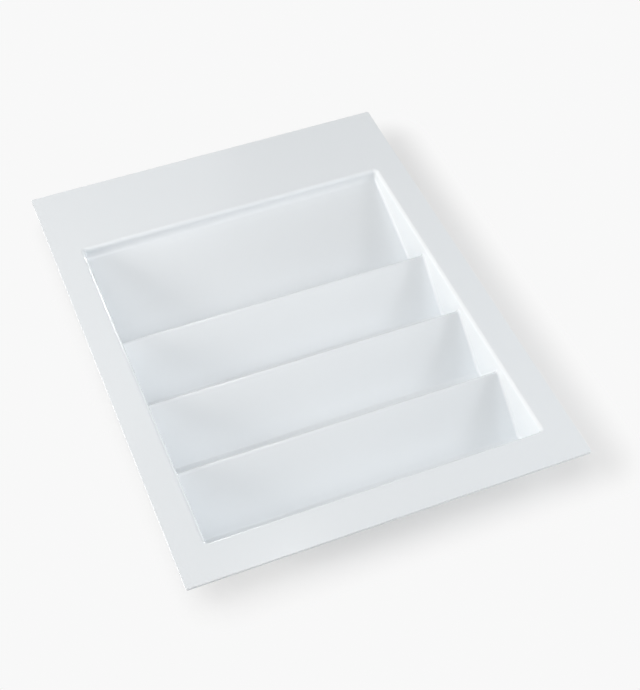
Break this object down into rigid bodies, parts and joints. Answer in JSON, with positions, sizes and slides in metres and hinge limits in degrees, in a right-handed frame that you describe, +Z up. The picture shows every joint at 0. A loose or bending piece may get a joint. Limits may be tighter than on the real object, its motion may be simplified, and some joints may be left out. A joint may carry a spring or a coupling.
{
  "type": "spice drawer insert",
  "caption": "White plastic drawer insert with a wide flat rim that is trimmed to the drawer and a well of sloping tiers in which spice jars lie tilted against square stops.",
  "frame": {"origin": "on the drawer floor, under the middle of the rim's outline", "axes": "+X to the right and +Y to the back as seen from the front of the drawer, +Z up out of the drawer"},
  "size_m": [0.378, 0.502, 0.0481],
  "materials": {
    "white_sheet": "satin white"
  },
  "bodies": {
    "root": {"rim_flange": "white_sheet", "left_wall": "white_sheet", "right_wall": "white_sheet", "back_wall": "white_sheet", "rear_ramp": "white_sheet", "rear_stop": "white_sheet", "first_ridge": "white_sheet", "second_ramp": "white_sheet", "second_stop": "white_sheet", "second_ridge": "white_sheet", "third_ramp": "white_sheet", "third_stop": "white_sheet", "third_ridge": "white_sheet", "front_ramp": "white_sheet", "front_wall": "white_sheet"}
  },
  "joints": []
}
